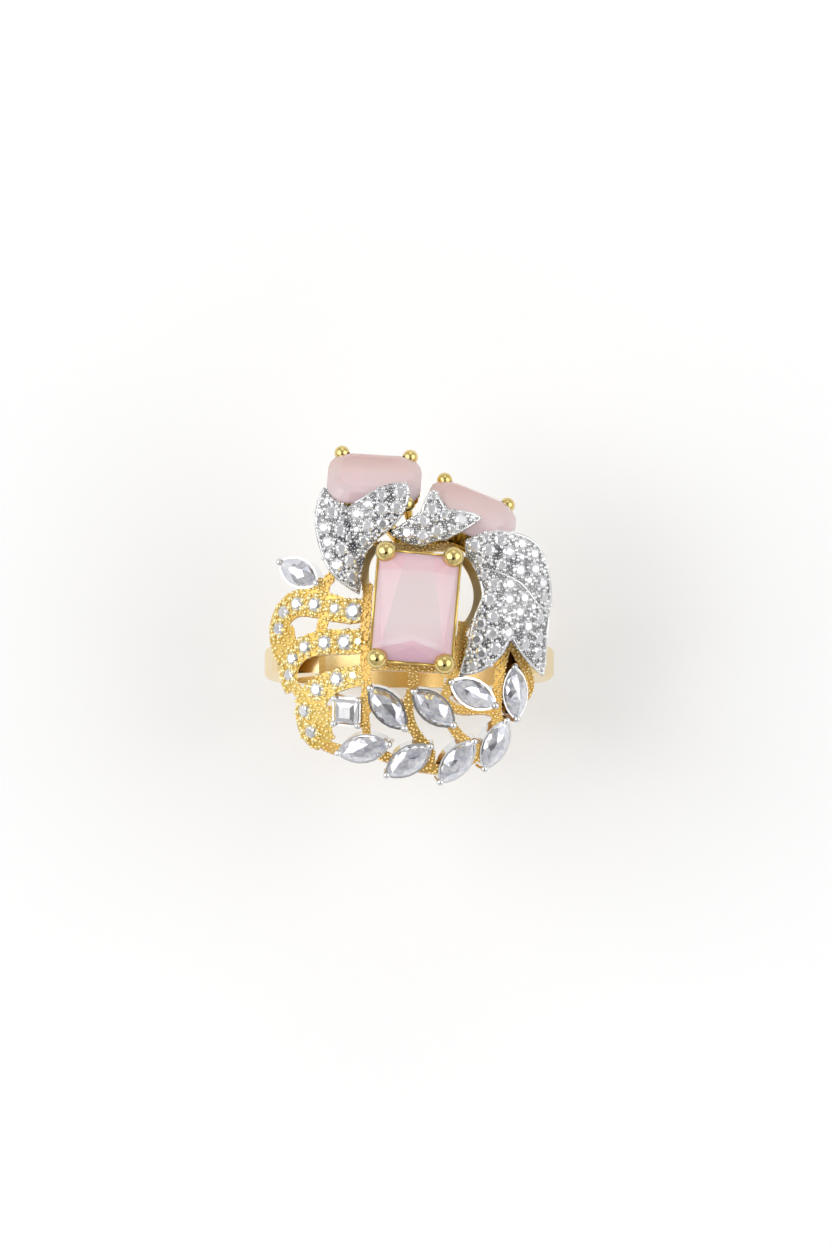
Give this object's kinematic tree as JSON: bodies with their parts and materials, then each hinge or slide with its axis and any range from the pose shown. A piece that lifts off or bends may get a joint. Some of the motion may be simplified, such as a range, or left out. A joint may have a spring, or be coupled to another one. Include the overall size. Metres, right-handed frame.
{
  "type": "cocktail ring",
  "caption": "Cocktail ring: a plain band under a domed openwork head with three rose quartz stones, pave petals, scrolls and a marquise vine.",
  "frame": {"origin": "centre of the finger bore, halfway across the band", "axes": "+Y along the finger, +Z up through the head, +X to the right when the head is seen from above with +Y upwards"},
  "size_m": [0.022, 0.0255, 0.0266],
  "materials": {
    "polished_gold": "polished yellow gold",
    "grained_gold": "matte granulated yellow gold",
    "satin_gold": "satin pale yellow gold",
    "white_rhodium": "polished white rhodium plating",
    "rose_quartz": "milky polished stone",
    "clear_crystal": "clear polished stone"
  },
  "bodies": {
    "root": {"centre_basket": "polished_gold", "centre_prongs": "polished_gold", "centre_stone": "rose_quartz", "cross_bar": "grained_gold", "gallery_bridge": "polished_gold", "leaf_branch": "grained_gold", "left_column": "grained_gold", "left_inner_pave_stones": "clear_crystal", "left_inner_petal": "white_rhodium", "left_loop_wire": "polished_gold", "left_outer_pave_stones": "clear_crystal", "left_outer_petal": "white_rhodium", "lower_scroll": "grained_gold", "lower_scroll_stones": "clear_crystal", "marquise_setting_1": "white_rhodium", "marquise_setting_2": "white_rhodium", "marquise_setting_3": "white_rhodium", "marquise_setting_4": "white_rhodium", "marquise_setting_5": "white_rhodium", "marquise_setting_6": "white_rhodium", "marquise_setting_7": "white_rhodium", "marquise_setting_8": "white_rhodium", "marquise_setting_9": "white_rhodium", "marquise_stone_1": "clear_crystal", "marquise_stone_2": "clear_crystal", "marquise_stone_3": "clear_crystal", "marquise_stone_4": "clear_crystal", "marquise_stone_5": "clear_crystal", "marquise_stone_6": "clear_crystal", "marquise_stone_7": "clear_crystal", "marquise_stone_8": "clear_crystal", "marquise_stone_9": "clear_crystal", "middle_pave_stones": "clear_crystal", "middle_petal": "white_rhodium", "middle_scroll": "grained_gold", "middle_scroll_stones": "clear_crystal", "petal_struts": "polished_gold", "right_column": "grained_gold", "right_loop_wire": "polished_gold", "right_lower_pave_stones": "clear_crystal", "right_lower_petal": "white_rhodium", "right_upper_pave_stones": "clear_crystal", "right_upper_petal": "white_rhodium", "scroll_ties": "grained_gold", "shank": "satin_gold", "square_setting": "white_rhodium", "square_stone": "clear_crystal", "top_bar": "grained_gold", "upper_left_basket": "polished_gold", "upper_left_prongs": "polished_gold", "upper_left_stone": "rose_quartz", "upper_right_basket": "polished_gold", "upper_right_prongs": "polished_gold", "upper_right_stone": "rose_quartz", "upper_scroll": "grained_gold", "upper_scroll_stones": "clear_crystal", "upper_spine": "polished_gold", "vine_frame": "grained_gold"}
  },
  "joints": []
}
